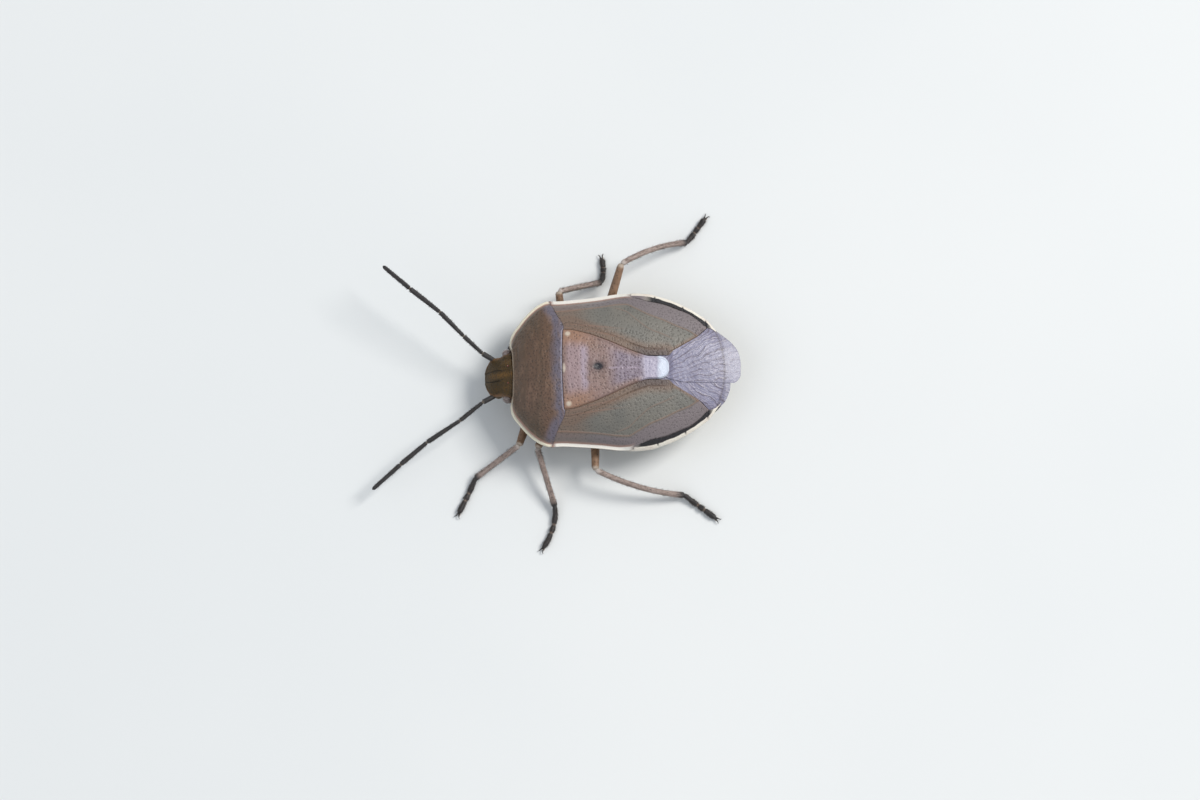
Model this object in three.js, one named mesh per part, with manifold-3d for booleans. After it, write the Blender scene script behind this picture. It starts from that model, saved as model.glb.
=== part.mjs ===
// A shield bug at life size, standing with one feeler raised, in millimetres.
// +Z is up, the bug looks along -Y and its left side is on +X. Places are given
// as [x, s, z], where s runs back along the body from the tip of the head.
// The wing cases, the scutellum and the pronotum are plates of one domed back.
import * as THREE from 'three';
import { LoftGeometry } from 'three/addons/geometries/LoftGeometry.js';
import { mergeVertices } from 'three/addons/utils/BufferGeometryUtils.js';
import Module from 'manifold-3d';

const wasm = await Module();
wasm.setup();

// The body: heights above the floor and thicknesses.
const GAP = 0.05;
const RIM_HALF = 0.12;
const PLATE = 0.55;
const DOME_POWER = 2.4;
const DOME_FULLNESS = 0.85;
const BELLY_POWER = 2.2;
const BELLY_FULLNESS = 0.75;
const CORE_SHARE = 0.955;
const NECK = 1.36;
const THORAX_FRONT = 1.5;
const WAIST = 5.65;
const ABDOMEN_END = 11.7;
const TAIL_START = 10;

// The limbs: half thicknesses.
const COXA = 0.34;
const FEMUR = 0.26;
const SHANK = 0.25;
const FEELER = 0.25;
const SNOUT = 0.25;
const SIDES = 8;
const TIP_REACH = 0.9;
const TIP_SHARE = 0.45;

// The eyes.
const EYE = { x: 1.12, s: 1.1, z: 1.95, wide: 0.2, long: 0.24, high: 0.25 };

// Points closer than this are one point.
const WELD = 1e-5;

// A smooth value along a line: stations are [place, value] pairs, joined by cubics that
// don't overshoot, because the slope at a station is the harmonic mean of its neighbours'.
function along(stations) {
  const last = stations.length - 1;
  const steps = stations.slice(1).map(([place, value], i) => {
    const [placeBefore, valueBefore] = stations[i];
    return (value - valueBefore) / (place - placeBefore);
  });
  const slopes = stations.map((station, i) => {
    const before = steps[Math.max(i - 1, 0)];
    const after = steps[Math.min(i, last - 1)];
    return before * after <= 0 ? 0 : 2 * before * after / (before + after);
  });
  return (wanted) => {
    const place = THREE.MathUtils.clamp(wanted, stations[0][0], stations[last][0]);
    let i = 0;
    while (i < last - 1 && place > stations[i + 1][0]) i += 1;
    const width = stations[i + 1][0] - stations[i][0];
    const t = (place - stations[i][0]) / width;
    const ease = t * t * (3 - 2 * t);
    const bend = width * t * (1 - t) * (slopes[i] * (1 - t) - slopes[i + 1] * t);
    return stations[i][1] * (1 - ease) + stations[i + 1][1] * ease + bend;
  };
}

const mix = THREE.MathUtils.lerp;

// Profiles of the body along s: half widths seen from above, then heights.
const headEdge = along([[0, 0.3], [0.07, 0.52], [0.15, 0.66], [0.3, 0.88], [0.5, 0.96], [0.9, 0.97],
  [1.1, 1.02], [1.45, 1.1]]);
const bodyEdge = along([[1.25, 1.55], [1.3, 1.84], [1.77, 2.57], [2.26, 3.1], [2.74, 3.45], [3.15, 3.6],
  [3.7, 3.58], [4.68, 3.64], [5.66, 3.73], [6.63, 3.85], [7.3, 3.88], [8.08, 3.82], [8.57, 3.68],
  [9.05, 3.52], [9.54, 3.3], [10.02, 3.05], [10.5, 2.74], [11, 2.35], [11.4, 1.96], [11.65, 1.75],
  [12.1, 1.38], [12.4, 1.05], [12.55, 0.8]]);
const coriumEdge = along([[3.2, 3.6], [3.7, 3.58], [4.68, 3.64], [5.66, 3.73], [6.63, 3.85], [7, 3.86],
  [7.4, 3.7], [8.08, 3.43], [8.8, 3.26], [9.54, 2.97], [10.02, 2.77], [10.5, 2.43], [10.95, 2.04]]);
const abdomenShelf = along([[7, 3.84], [7.4, 3.7], [8.08, 3.43], [8.8, 3.26], [9.54, 2.97], [10.02, 2.77],
  [10.5, 2.45], [10.9, 2.12], [11.1, 2.07], [11.4, 1.85]]);
const abdomenTail = along([[10, 3], [10.5, 2.4], [11, 1.9], [11.4, 1.55], [11.7, 1]]);
const scutellumEdge = along([[3.97, 1.9], [4.1, 1.95], [5.17, 1.7], [6.14, 1.33], [6.87, 1], [7.6, 0.7],
  [8.1, 0.56], [8.6, 0.54], [8.85, 0.42], [9.03, 0.2]]);
const crest = along([[0, 1.45], [0.3, 1.85], [0.8, 2.3], [1.3, 2.6], [2.2, 3.25], [3, 3.6], [3.9, 3.75],
  [5, 3.8], [6, 3.72], [7.5, 3.47], [9, 3.17], [10, 2.95], [11, 2.7], [11.8, 2.45], [12.5, 2.2]]);
const rim = along([[0, 1.3], [0.3, 1.5], [1.2, 1.85], [2, 2], [3.2, 2.15], [5, 2.08], [8, 2.05],
  [10, 2.05], [11.5, 2.1], [12.5, 2]]);
const belly = along([[0, 1.15], [0.4, 1.05], [1.2, 0.95], [2.2, 0.85], [3, 0.75], [4.5, 0.65], [6, 0.5],
  [7.5, 0.4], [9, 0.5], [10.5, 0.9], [11.3, 1.3], [11.8, 1.65]]);

// Outlines of the plates across the body: s as a function of the distance from the middle.
const pronotumFront = along([[0, 1.46], [1, 1.42], [1.5, 1.27], [1.84, 1.3], [2.57, 1.77], [3.1, 2.26],
  [3.4, 2.65], [3.55, 3]]);
const pronotumBack = along([[0, 3.88], [1.9, 3.92], [2.05, 3.98], [2.8, 3.62], [3.55, 3.26]]);
const wingSuture = along([[0, 9.12], [0.55, 9.05], [0.72, 9.1], [1, 9.54], [1.38, 10.17], [1.6, 10.5],
  [2.04, 10.95]]);
const upperMembraneBack = along([[-2.04, 11.1], [-1.65, 11.65], [-1.25, 12.1], [-0.8, 12.4], [-0.2, 12.5],
  [0.3, 12.48], [0.62, 12.3], [0.8, 11.9]]);
const lowerMembraneBack = along([[0.6, 12], [1, 11.95], [1.4, 11.8], [1.65, 11.65], [2.04, 11.1]]);
const membraneOverlap = along([[0, 0.3], [0.3, 0.7], [1, 0.7]]);
const MEMBRANE_SIDE = 2.04;
const PRONOTUM_SIDE = 3.55;

// The share of the dome left at q, the distance from the middle over the half width.
function domeShare(q, power, fullness) {
  return Math.max(0, 1 - Math.abs(q) ** power) ** fullness;
}

// The back and the underside: both meet the rim, which is a blunt edge.
function back(x, s, edge = bodyEdge) {
  const foot = rim(s) + RIM_HALF;
  return foot + (crest(s) - foot) * domeShare(x / edge(s), DOME_POWER, DOME_FULLNESS);
}

function underside(x, s, edge = bodyEdge) {
  const foot = rim(s) - RIM_HALF;
  return foot - (foot - belly(s)) * domeShare(x / edge(s), BELLY_POWER, BELLY_FULLNESS);
}

function plateUnderside(x, s) {
  return Math.max(back(x, s) - PLATE, underside(x, s));
}

function coreTop(x, s) {
  return back(x, s) - PLATE - GAP;
}

// A closed plate. plan(u, v) gives [x, s] for u across and v back along the body, both 0 to 1,
// with x growing with u on the bug's left and shrinking on its right (side -1). Each row is a
// ring that runs over the top and comes back below, and its first and last rings are filled.
function plate({ plan, top, bottom, across, lengthwise, side = 1 }) {
  const positions = [];
  const index = [];
  const ringSize = 2 * (across + 1);
  const quad = (a, b, c, d) => {
    index.push(...(side < 0 ? [b, a, d, d, c, b] : [a, b, d, b, c, d]));
  };
  for (let row = 0; row <= lengthwise; row += 1) {
    const places = [];
    for (let column = 0; column <= across; column += 1) {
      places.push(plan(column / across, row / lengthwise));
    }
    places.forEach(([x, s]) => positions.push(x, s, top(x, s)));
    places.reverse().forEach(([x, s]) => positions.push(x, s, bottom(x, s)));
    if (row < lengthwise) {
      for (let k = 0; k < ringSize; k += 1) {
        const here = row * ringSize + k;
        const next = row * ringSize + (k + 1) % ringSize;
        quad(here, next, next + ringSize, here + ringSize);
      }
    }
  }
  const lastRing = lengthwise * ringSize;
  for (let column = 0; column < across; column += 1) {
    const below = ringSize - 1 - column;
    quad(column + 1, column, below, below - 1);
    quad(lastRing + column, lastRing + column + 1, lastRing + below - 1, lastRing + below);
  }
  const geometry = new THREE.BufferGeometry();
  geometry.setAttribute('position', new THREE.Float32BufferAttribute(positions, 3));
  geometry.setIndex(index);
  return solid(geometry);
}

// A limb: round sections of the given half thicknesses along a smooth path, with rounded
// ends. grow makes it thicker and longer all round, for the room it needs in its neighbour.
function limb(points, radii, { grow = 0, rings = 5 } = {}) {
  const path = new THREE.CatmullRomCurve3(points.map((p) => new THREE.Vector3(...p)));
  const radius = along(radii.map((r, i) => [i / (radii.length - 1), r]));
  const frames = path.computeFrenetFrames(rings);
  const sections = [];
  const addRing = (i, beyond, share) => {
    const t = i / rings;
    const centre = path.getPointAt(t).addScaledVector(frames.tangents[i], beyond);
    const reach = (radius(t) + grow) * share;
    const ring = [];
    for (let k = 0; k < SIDES; k += 1) {
      const angle = (k + 0.5) / SIDES * 2 * Math.PI;
      const spoke = frames.normals[i].clone().multiplyScalar(Math.cos(angle) * reach);
      spoke.addScaledVector(frames.binormals[i], Math.sin(angle) * reach);
      ring.push(centre.clone().add(spoke));
    }
    sections.push(ring);
  };
  addRing(0, -(radius(0) + grow) * TIP_REACH, TIP_SHARE);
  for (let i = 0; i <= rings; i += 1) addRing(i, 0, 1);
  addRing(rings, (radius(1) + grow) * TIP_REACH, TIP_SHARE);
  return solid(new LoftGeometry(sections, { capStart: true, capEnd: true }));
}

function solid(geometry) {
  const bare = new THREE.BufferGeometry();
  bare.setAttribute('position', geometry.getAttribute('position'));
  bare.setIndex(geometry.getIndex());
  const welded = mergeVertices(bare, WELD);
  const mesh = new wasm.Mesh({
    numProp: 3,
    vertProperties: new Float32Array(welded.attributes.position.array),
    triVerts: new Uint32Array(welded.index.array),
  });
  return new wasm.Manifold(mesh);
}

function largest(body) {
  return body.decompose().sort((a, b) => b.volume() - a.volume())[0];
}

function cut(body, ...cutters) {
  return largest(cutters.reduce((rest, cutter) => rest.subtract(cutter), body));
}

// Finishes: colour, roughness.
const FINISHES = {
  shell: [0x5a4130, 0.45],
  dark_shell: [0x3f3424, 0.5],
  scutellum: [0x7b5a45, 0.42],
  wing_case: [0x6f6a62, 0.5],
  membrane: [0x9a8f9c, 0.35],
  belly: [0x8a7a50, 0.5],
  edge: [0xe8e0c8, 0.45],
  eye: [0x20160f, 0.15],
  feeler: [0x14120f, 0.5],
  leg: [0x7a5a44, 0.5],
  foot: [0x17130f, 0.55],
};

const bug = new THREE.Group();

function add(name, finish, body) {
  const { vertProperties, triVerts } = body.getMesh();
  const geometry = new THREE.BufferGeometry();
  geometry.setAttribute('position', new THREE.Float32BufferAttribute(vertProperties, 3));
  geometry.setIndex(Array.from(triVerts));
  geometry.computeVertexNormals();
  const [color, roughness] = FINISHES[finish];
  const mesh = new THREE.Mesh(geometry, new THREE.MeshStandardMaterial({ color, roughness, metalness: 0 }));
  mesh.name = name;
  bug.add(mesh);
}

// Legs: coxa and femur from the hip to the knee, tibia to the ankle, tarsus to the toe.
// bow is how far the middle of the tibia, and of the tarsus, stands off the straight line.
const LEGS = {
  left_front: { hip: [1, 2.35, 0.75], knee: [3.3, 1.6, 1.3], ankle: [4.69, -0.62, 0.3],
    toe: [6.38, -1.48, 0.2], tibiaBow: [0, 0, 0.05], tarsusBow: [0, 0, 0] },
  left_middle: { hip: [1.1, 3.95, 0.7], knee: [3.45, 2.48, 1.3], ankle: [6.2, 3.22, 0.3],
    toe: [8.22, 2.6, 0.2], tibiaBow: [0, 0, 0.05], tarsusBow: [0, 0.2, 0] },
  left_hind: { hip: [1.1, 5.3, 0.65], knee: [4.64, 5.3, 1.5], ankle: [5.83, 9.55, 0.3],
    toe: [6.99, 11.05, 0.2], tibiaBow: [0.25, 0, 0.1], tarsusBow: [0, 0, 0] },
  right_front: { hip: [-1, 2.35, 0.75], knee: [-3.05, 2.5, 1.15], ankle: [-1.6, 1.15, 0.3],
    toe: [-0.6, 0.4, 0.2], tibiaBow: [0, 0, 0], tarsusBow: [0, 0, 0] },
  right_middle: { hip: [-1.1, 3.95, 0.7], knee: [-4.18, 3.7, 1.7], ankle: [-4.85, 5.7, 0.3],
    toe: [-6.05, 5.75, 0.2], tibiaBow: [0, 0, 0.05], tarsusBow: [0, 0.08, 0] },
  right_hind: { hip: [-1.1, 5.3, 0.65], knee: [-5.4, 6.8, 2], ankle: [-6.7, 9.95, 0.3],
    toe: [-7.9, 10.85, 0.2], tibiaBow: [-0.2, 0, 0.1], tarsusBow: [0, 0, 0] },
};

function bent(from, to, bow) {
  return [from, from.map((value, i) => (value + to[i]) / 2 + bow[i]), to];
}

// Everything below the floor, so that the feet and shins stand on small flats.
const FLOOR_REACH = 40;
const FLOOR_DEPTH = 4;
const belowFloor = solid(new THREE.BoxGeometry(FLOOR_REACH, FLOOR_REACH, FLOOR_DEPTH)
  .translate(0, 0, -FLOOR_DEPTH / 2));
const hipRooms = [];
for (const [name, leg] of Object.entries(LEGS)) {
  const femurPath = bent(leg.hip, leg.knee, [0, 0, 0]);
  const femurRadii = [COXA, FEMUR, FEMUR];
  const femurRoom = limb(femurPath, femurRadii, { grow: GAP });
  const tibiaPath = bent(leg.knee, leg.ankle, leg.tibiaBow);
  const tarsusPath = bent(leg.ankle, leg.toe, leg.tarsusBow);
  const tibia = limb(tibiaPath, [SHANK, SHANK]);
  const tibiaRoom = limb(tibiaPath, [SHANK, SHANK], { grow: GAP });
  const tarsus = limb(tarsusPath, [SHANK, SHANK], { rings: 4 });
  hipRooms.push(femurRoom);
  add(`leg_${name}_femur`, 'leg', limb(femurPath, femurRadii));
  add(`leg_${name}_tibia`, 'leg', cut(tibia, femurRoom, belowFloor));
  add(`leg_${name}_tarsus`, 'foot', cut(tarsus, tibiaRoom, belowFloor));
}

// Feelers: five segments each, from a socket under the side of the head to the tip.
const FEELERS = {
  left: [[0.72, 0.75, 1.5], [1.2, -0.1, 1.75], [2.06, -1.23, 1.7], [3.05, -2.88, 1.47],
    [4.07, -4.2, 1.28], [5.24, -5.61, 1.1]],
  right: [[-0.72, 0.75, 1.5], [-1.2, -0.08, 1.85], [-2.02, -0.95, 2.2], [-3.17, -2.06, 2.6],
    [-4.34, -3.49, 2.8], [-5.48, -4.78, 2.9]],
};
const socketRooms = [];
for (const [side, joints] of Object.entries(FEELERS)) {
  let previous = null;
  for (let i = 0; i < joints.length - 1; i += 1) {
    const ends = [joints[i], joints[i + 1]];
    const segment = limb(ends, [FEELER, FEELER], { rings: 2 });
    const room = limb(ends, [FEELER, FEELER], { rings: 2, grow: GAP });
    add(`antenna_${side}_${i + 1}`, 'feeler', previous ? cut(segment, previous) : segment);
    if (i === 0) socketRooms.push(room);
    previous = room;
  }
}

// The beak, folded back along the underside between the legs.
const beakPath = [[0, 0.5, 1], [0, 1.6, 0.72], [0, 3, 0.5], [0, 4.9, 0.42]];
const beakRoom = limb(beakPath, [SNOUT, SNOUT], { grow: GAP, rings: 6 });
add('rostrum', 'leg', limb(beakPath, [SNOUT, SNOUT], { rings: 6 }));

// The head, with hollows for the eyes and the feelers' sockets.
const EYE_FACES = [10, 8];
function eye(side, grow) {
  const ball = new THREE.SphereGeometry(1, ...EYE_FACES);
  ball.scale(EYE.wide + grow, EYE.long + grow, EYE.high + grow);
  return solid(ball.translate(side * EYE.x, EYE.s, EYE.z));
}

const headBlock = plate({
  plan: (u, v) => [mix(-1, 1, u) * headEdge(v * NECK), v * NECK],
  top: (x, s) => back(x, s, headEdge),
  bottom: (x, s) => underside(x, s, headEdge),
  across: 10,
  lengthwise: 9,
});
add('head', 'dark_shell', cut(headBlock, eye(1, GAP), eye(-1, GAP), beakRoom, ...socketRooms));
add('eye_left', 'eye', eye(1, 0));
add('eye_right', 'eye', eye(-1, 0));

// The thorax and the abdomen: the body's core under the plates.
function core(start, end, halfWidth, lengthwise) {
  return plate({
    plan: (u, v) => [mix(-1, 1, u) * halfWidth(mix(start, end, v)), mix(start, end, v)],
    top: coreTop,
    bottom: underside,
    across: 10,
    lengthwise,
  });
}

const coreEdge = (s) => CORE_SHARE * bodyEdge(s);
const shelfEdge = (s) => {
  const tail = s > TAIL_START ? abdomenTail(s) : Infinity;
  return Math.min(coreEdge(s), abdomenShelf(s) - GAP / 2, tail);
};
add('thorax', 'belly', cut(core(THORAX_FRONT, WAIST, coreEdge, 8), beakRoom, ...hipRooms));
add('abdomen', 'belly', cut(core(WAIST + GAP, ABDOMEN_END, shelfEdge, 14), ...hipRooms));

// The pronotum, the shield behind the head.
add('pronotum', 'shell', cut(plate({
  plan: (u, v) => {
    const x = mix(-1, 1, u) * PRONOTUM_SIDE;
    return [x, mix(pronotumFront(Math.abs(x)), pronotumBack(Math.abs(x)), v)];
  },
  top: back,
  bottom: plateUnderside,
  across: 18,
  lengthwise: 6,
}), ...hipRooms));

// The scutellum, the long triangle between the wing cases.
const SCUTELLUM_FRONT = 3.97;
const SCUTELLUM_TIP = 9.03;
const SCUTELLUM_PROUD = 0.05;
add('scutellum', 'scutellum', plate({
  plan: (u, v) => {
    const s = mix(SCUTELLUM_FRONT, SCUTELLUM_TIP, v);
    return [mix(-1, 1, u) * scutellumEdge(s), s];
  },
  top: (x, s) => back(x, s) + SCUTELLUM_PROUD,
  bottom: plateUnderside,
  across: 6,
  lengthwise: 12,
}));

// The wings: a leathery corium each side and the thin membranes behind, the right one on top.
const CORIUM_INNER_START = [2.02, 4.05];
const CORIUM_OUTER_START = 3.33;
const CORIUM_INNER_MIN = 0.62;
const BOW_POWER = 8;

// The inner edge runs beside the scutellum and the outer one down the side. The rows are
// straight at first and bow more and more towards the suture: bump is 0 at both edges and 1
// halfway between them.
function coriumPlan(side) {
  const [startX, startS] = CORIUM_INNER_START;
  const innerEnd = wingSuture(CORIUM_INNER_MIN) - GAP;
  const outerEnd = wingSuture(MEMBRANE_SIDE);
  return (u, v) => {
    const innerS = mix(startS, innerEnd, v);
    const outerS = mix(CORIUM_OUTER_START, outerEnd, v);
    const besideScutellum = Math.max(scutellumEdge(innerS) + GAP, CORIUM_INNER_MIN);
    const innerX = v === 0 ? Math.max(besideScutellum, startX) : besideScutellum;
    const x = mix(innerX, coriumEdge(outerS), u);
    const straight = mix(innerS, outerS, u);
    const bump = 4 * u * (1 - u);
    return [side * x, straight + (wingSuture(x) - straight) * bump * v ** BOW_POWER];
  };
}

function membranePlan(side, backLine) {
  return (u, v) => {
    const inner = membraneOverlap(v) + (side > 0 ? GAP : 0);
    const x = mix(inner, side * MEMBRANE_SIDE, u);
    return [x, mix(wingSuture(Math.abs(x)) + GAP, backLine(x), v)];
  };
}

const wingSides = { left: 1, right: -1 };
const membraneBacks = { left: lowerMembraneBack, right: upperMembraneBack };
for (const [name, side] of Object.entries(wingSides)) {
  add(`wing_${name}_corium`, 'wing_case', cut(plate({
    plan: coriumPlan(side),
    top: back,
    bottom: plateUnderside,
    across: 6,
    lengthwise: 16,
    side,
  }), ...hipRooms));
  add(`wing_${name}_membrane`, 'membrane', plate({
    plan: membranePlan(side, membraneBacks[name]),
    top: back,
    bottom: plateUnderside,
    across: 8,
    lengthwise: 9,
    side,
  }));
}

// The connexivum, the abdomen's pale edge that shows beside the wings.
const CONNEXIVUM_START = 7.3;
const CONNEXIVUM_END = 11.2;
for (const [name, side] of Object.entries(wingSides)) {
  add(`connexivum_${name}`, 'edge', plate({
    plan: (u, v) => {
      const s = mix(CONNEXIVUM_START, CONNEXIVUM_END, v);
      return [side * mix(abdomenShelf(s) + GAP, bodyEdge(s), u), s];
    },
    top: back,
    bottom: underside,
    across: 2,
    lengthwise: 12,
    side,
  }));
}

// The origin is on the floor below the middle of the whole bug.
const extent = new THREE.Box3().setFromObject(bug);
const middle = extent.getCenter(new THREE.Vector3());
bug.position.set(-middle.x, -middle.y, -extent.min.z);

export default bug;
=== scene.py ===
import math

import bmesh
import bpy
import numpy as np
from mathutils import Matrix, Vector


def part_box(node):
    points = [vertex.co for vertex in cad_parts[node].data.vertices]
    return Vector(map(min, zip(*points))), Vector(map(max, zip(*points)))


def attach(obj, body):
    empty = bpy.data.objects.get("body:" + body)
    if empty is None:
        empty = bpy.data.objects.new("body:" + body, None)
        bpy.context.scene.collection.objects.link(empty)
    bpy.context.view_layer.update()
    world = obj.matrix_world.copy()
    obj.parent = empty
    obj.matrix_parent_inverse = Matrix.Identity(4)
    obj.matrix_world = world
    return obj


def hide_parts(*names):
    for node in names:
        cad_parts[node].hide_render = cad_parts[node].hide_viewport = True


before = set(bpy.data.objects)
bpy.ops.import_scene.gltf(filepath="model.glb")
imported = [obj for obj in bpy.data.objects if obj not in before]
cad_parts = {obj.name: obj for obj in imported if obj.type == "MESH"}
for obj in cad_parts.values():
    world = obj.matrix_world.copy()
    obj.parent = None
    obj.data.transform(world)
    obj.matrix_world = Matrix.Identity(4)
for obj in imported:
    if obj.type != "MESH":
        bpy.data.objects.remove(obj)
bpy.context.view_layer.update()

# The camera looks down on the bug from 0.26 m, a little from its left and from behind, with
# the head to the left of the image. One point of the back is known in the 1200 x 800 image,
# so the lens and the aim follow from the size of the bug there.
MM = 0.001
HEAD_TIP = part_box("head")[0][1]
MIDDLE = (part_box("pronotum")[0][0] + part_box("pronotum")[1][0]) / 2
IMAGE_WIDTH, IMAGE_HEIGHT = 1200, 800
PIXELS_PER_MM = 20.6
METRES_PER_PIXEL = MM / PIXELS_PER_MM
CAMERA_DISTANCE = 0.258
TILT_TO_LEFT, TILT_TO_REAR, ROLL = map(math.radians, (10, 3, 1.7))
KNOWN_POINT, KNOWN_PIXEL = (0, 7.6, 2.1), (640, 372)


def place(x, s, z):
    """Points of the frame, in metres, from millimetres: x to the bug's left of its middle
    line, s backwards from the tip of the head, and z up from the floor."""
    x, s, z = np.broadcast_arrays(x, s, z)
    return np.stack([x * MM + MIDDLE, s * MM + HEAD_TIP, z * MM], axis=-1)


def stand(name, data, right, up, backwards, at):
    """Puts a camera or a lamp at a point, with its own axes turned the three given ways."""
    thing = bpy.data.objects.new(name, data)
    turn = Matrix([list(row) for row in np.stack([right, up, backwards], axis=1)]).to_4x4()
    thing.matrix_world = Matrix.Translation(at) @ turn
    bpy.context.collection.objects.link(thing)
    return thing


towards = np.array([math.sin(TILT_TO_LEFT), math.sin(TILT_TO_REAR), 0])
towards[2] = math.sqrt(1 - towards @ towards)
rearwards = np.array([0, 1, 0]) - towards[1] * towards
rearwards /= np.linalg.norm(rearwards)
sideways = np.cross(towards, rearwards)
image_right = math.cos(ROLL) * rearwards - math.sin(ROLL) * sideways
image_up = math.sin(ROLL) * rearwards + math.cos(ROLL) * sideways
camera_at = place(*KNOWN_POINT) + CAMERA_DISTANCE * towards
camera_at -= image_right * (KNOWN_PIXEL[0] - IMAGE_WIDTH / 2) * METRES_PER_PIXEL
camera_at += image_up * (KNOWN_PIXEL[1] - IMAGE_HEIGHT / 2) * METRES_PER_PIXEL
camera_data = bpy.data.cameras.new("camera")
camera_data.sensor_width = 36
camera_data.lens = camera_data.sensor_width * CAMERA_DISTANCE / (IMAGE_WIDTH * METRES_PER_PIXEL)
camera_data.clip_start = 0.005
bpy.context.scene.camera = stand("camera", camera_data, image_right, image_up, towards, camera_at)

# The floor is a plain pale sheet, and the light is a soft lamp behind the bug and to its
# right, as the shadows of its legs show, with a weaker one opposite and a pale sky.
KEY_ELEVATION, KEY_SWING, FILL_ELEVATION = map(math.radians, (46, 24, 50))
SKY_COLOUR, SKY_STRENGTH = (0.86, 0.92, 1.0, 1), 0.5
FLOOR_SIZE = 3.0
AIM = (0, 6, 2)


class Paint:
    """A material laid on like paint: a base colour, then coats, each where its mask is 1."""

    def __init__(self, name, colour, roughness, **sockets):
        self.material = bpy.data.materials.new(name)
        self.material.use_nodes = True
        self.nodes = self.material.node_tree.nodes
        self.links = self.material.node_tree.links
        self.shader = self.nodes["Principled BSDF"].inputs
        self.colour = (*colour, 1)
        self.shader["Base Color"].default_value = self.colour
        self.shader["Roughness"].default_value = roughness
        for socket, value in sockets.items():
            self.shader[socket.replace("_", " ")].default_value = value

    def node(self, kind, output, inputs, **settings):
        """Adds a node and returns one of its outputs. Each input is set to a number or
        colour, or linked to another node's output."""
        node = self.nodes.new("ShaderNode" + kind)
        for setting, value in settings.items():
            setattr(node, setting, value)
        for socket, value in inputs.items():
            if isinstance(value, bpy.types.NodeSocket):
                self.links.new(value, node.inputs[socket])
            else:
                node.inputs[socket].default_value = value
        return node.outputs[output]

    def mask(self, attribute):
        """A mask kept on the mesh's points."""
        return self.node("Attribute", "Fac", {}, attribute_name=attribute)

    def span(self, value, low, high, to_low=0.0, to_high=1.0):
        """A value's smooth rise from low to high, carried to another range."""
        inputs = dict(enumerate((value, low, high, to_low, to_high)))
        return self.node("MapRange", "Result", inputs, interpolation_type="SMOOTHSTEP")

    def sum(self, kind, a, b):
        """The result of a Math node of the given kind."""
        return self.node("Math", 0, {0: a, 1: b}, operation=kind)

    def grain(self, size, low=0.35, high=0.65, stretch=(1, 1, 1)):
        """Cloudy patches about size millimetres across, as a mask."""
        where = self.node("TexCoord", "Object", {})
        scale = [1 / (size * MM * k) for k in stretch]
        where = self.node("Mapping", 0, {"Vector": where, "Scale": scale})
        noise = self.node("TexNoise", 0, {"Vector": where, "Scale": 1.0, "Detail": 3.0})
        return self.span(noise, low, high)

    def cells(self, size, randomness=1.0):
        """The distance to the nearest of many scattered points, size millimetres apart."""
        where = self.node("TexCoord", "Object", {})
        inputs = {"Vector": where, "Scale": 1 / (size * MM), "Randomness": randomness}
        return self.node("TexVoronoi", "Distance", inputs)

    def coat(self, mask, colour, strength=1.0):
        """Lays a colour over what is there, where the mask is 1."""
        share = mask if strength == 1 else self.sum("MULTIPLY", mask, strength)
        inputs = {0: share, 6: self.colour, 7: (*colour, 1)}
        self.colour = self.node("Mix", 2, inputs, data_type="RGBA")
        self.links.new(self.colour, self.shader["Base Color"])

    def layers(self, **coats):
        """Lays coats in their order, each given as a mask's name with the coat's colour and,
        as the fourth number, its strength."""
        for attribute, (*colour, strength) in coats.items():
            self.coat(self.mask(attribute), colour, strength)

    def clouds(self, size, colour, strength=1.0):
        """Cloudy patches of a colour, about size millimetres across."""
        self.coat(self.grain(size), colour, strength)

    def speckles(self, size, colour, strength):
        """Scattered round specks, size millimetres apart."""
        self.coat(self.span(self.cells(size), 0.16, 0.3, 1.0, 0.0), colour, strength)

    def bump(self, height, depth, strength=1.0):
        """Fine relief: depth millimetres between 0 and 1 of the height."""
        inputs = {"Strength": strength, "Distance": depth * MM, "Height": height}
        self.links.new(self.node("Bump", 0, inputs), self.shader["Normal"])

    def roughen(self, size, depth):
        """Fine relief of grains about size millimetres across."""
        self.bump(self.grain(size), depth)


bpy.ops.mesh.primitive_plane_add(size=FLOOR_SIZE)
floor = bpy.context.object
floor.name = "floor"
floor_paint = Paint("floor_paint", (0.77, 0.78, 0.77), 0.7)
floor_paint.clouds(40.0, (0.74, 0.755, 0.75))
floor.data.materials.append(floor_paint.material)


def lamp(name, swing, elevation, distance, size, power, colour):
    """A square soft lamp that faces the bug. swing is the turn from straight behind the bug
    towards its right side."""
    way = np.array([-math.sin(swing) * math.cos(elevation), math.cos(swing) * math.cos(elevation),
                    math.sin(elevation)])
    data = bpy.data.lights.new(name, "AREA")
    data.size, data.energy, data.color = size, power, colour
    side = np.cross([0, 0, 1], way)
    side /= np.linalg.norm(side)
    stand(name, data, side, np.cross(way, side), way, place(*AIM) + way * distance)


lamp("key", KEY_SWING, KEY_ELEVATION, distance=0.6, size=0.22, power=3.0, colour=(1.0, 0.98, 0.95))
lamp("fill", KEY_SWING + math.pi, FILL_ELEVATION, distance=0.7, size=0.6, power=0.9,
     colour=(0.93, 0.96, 1.0))
world = bpy.data.worlds.new("sky")
world.use_nodes = True
sky = world.node_tree.nodes["Background"].inputs
sky["Color"].default_value, sky["Strength"].default_value = SKY_COLOUR, SKY_STRENGTH
bpy.context.scene.world = world
bpy.context.scene.view_settings.view_transform = "Standard"

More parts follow.
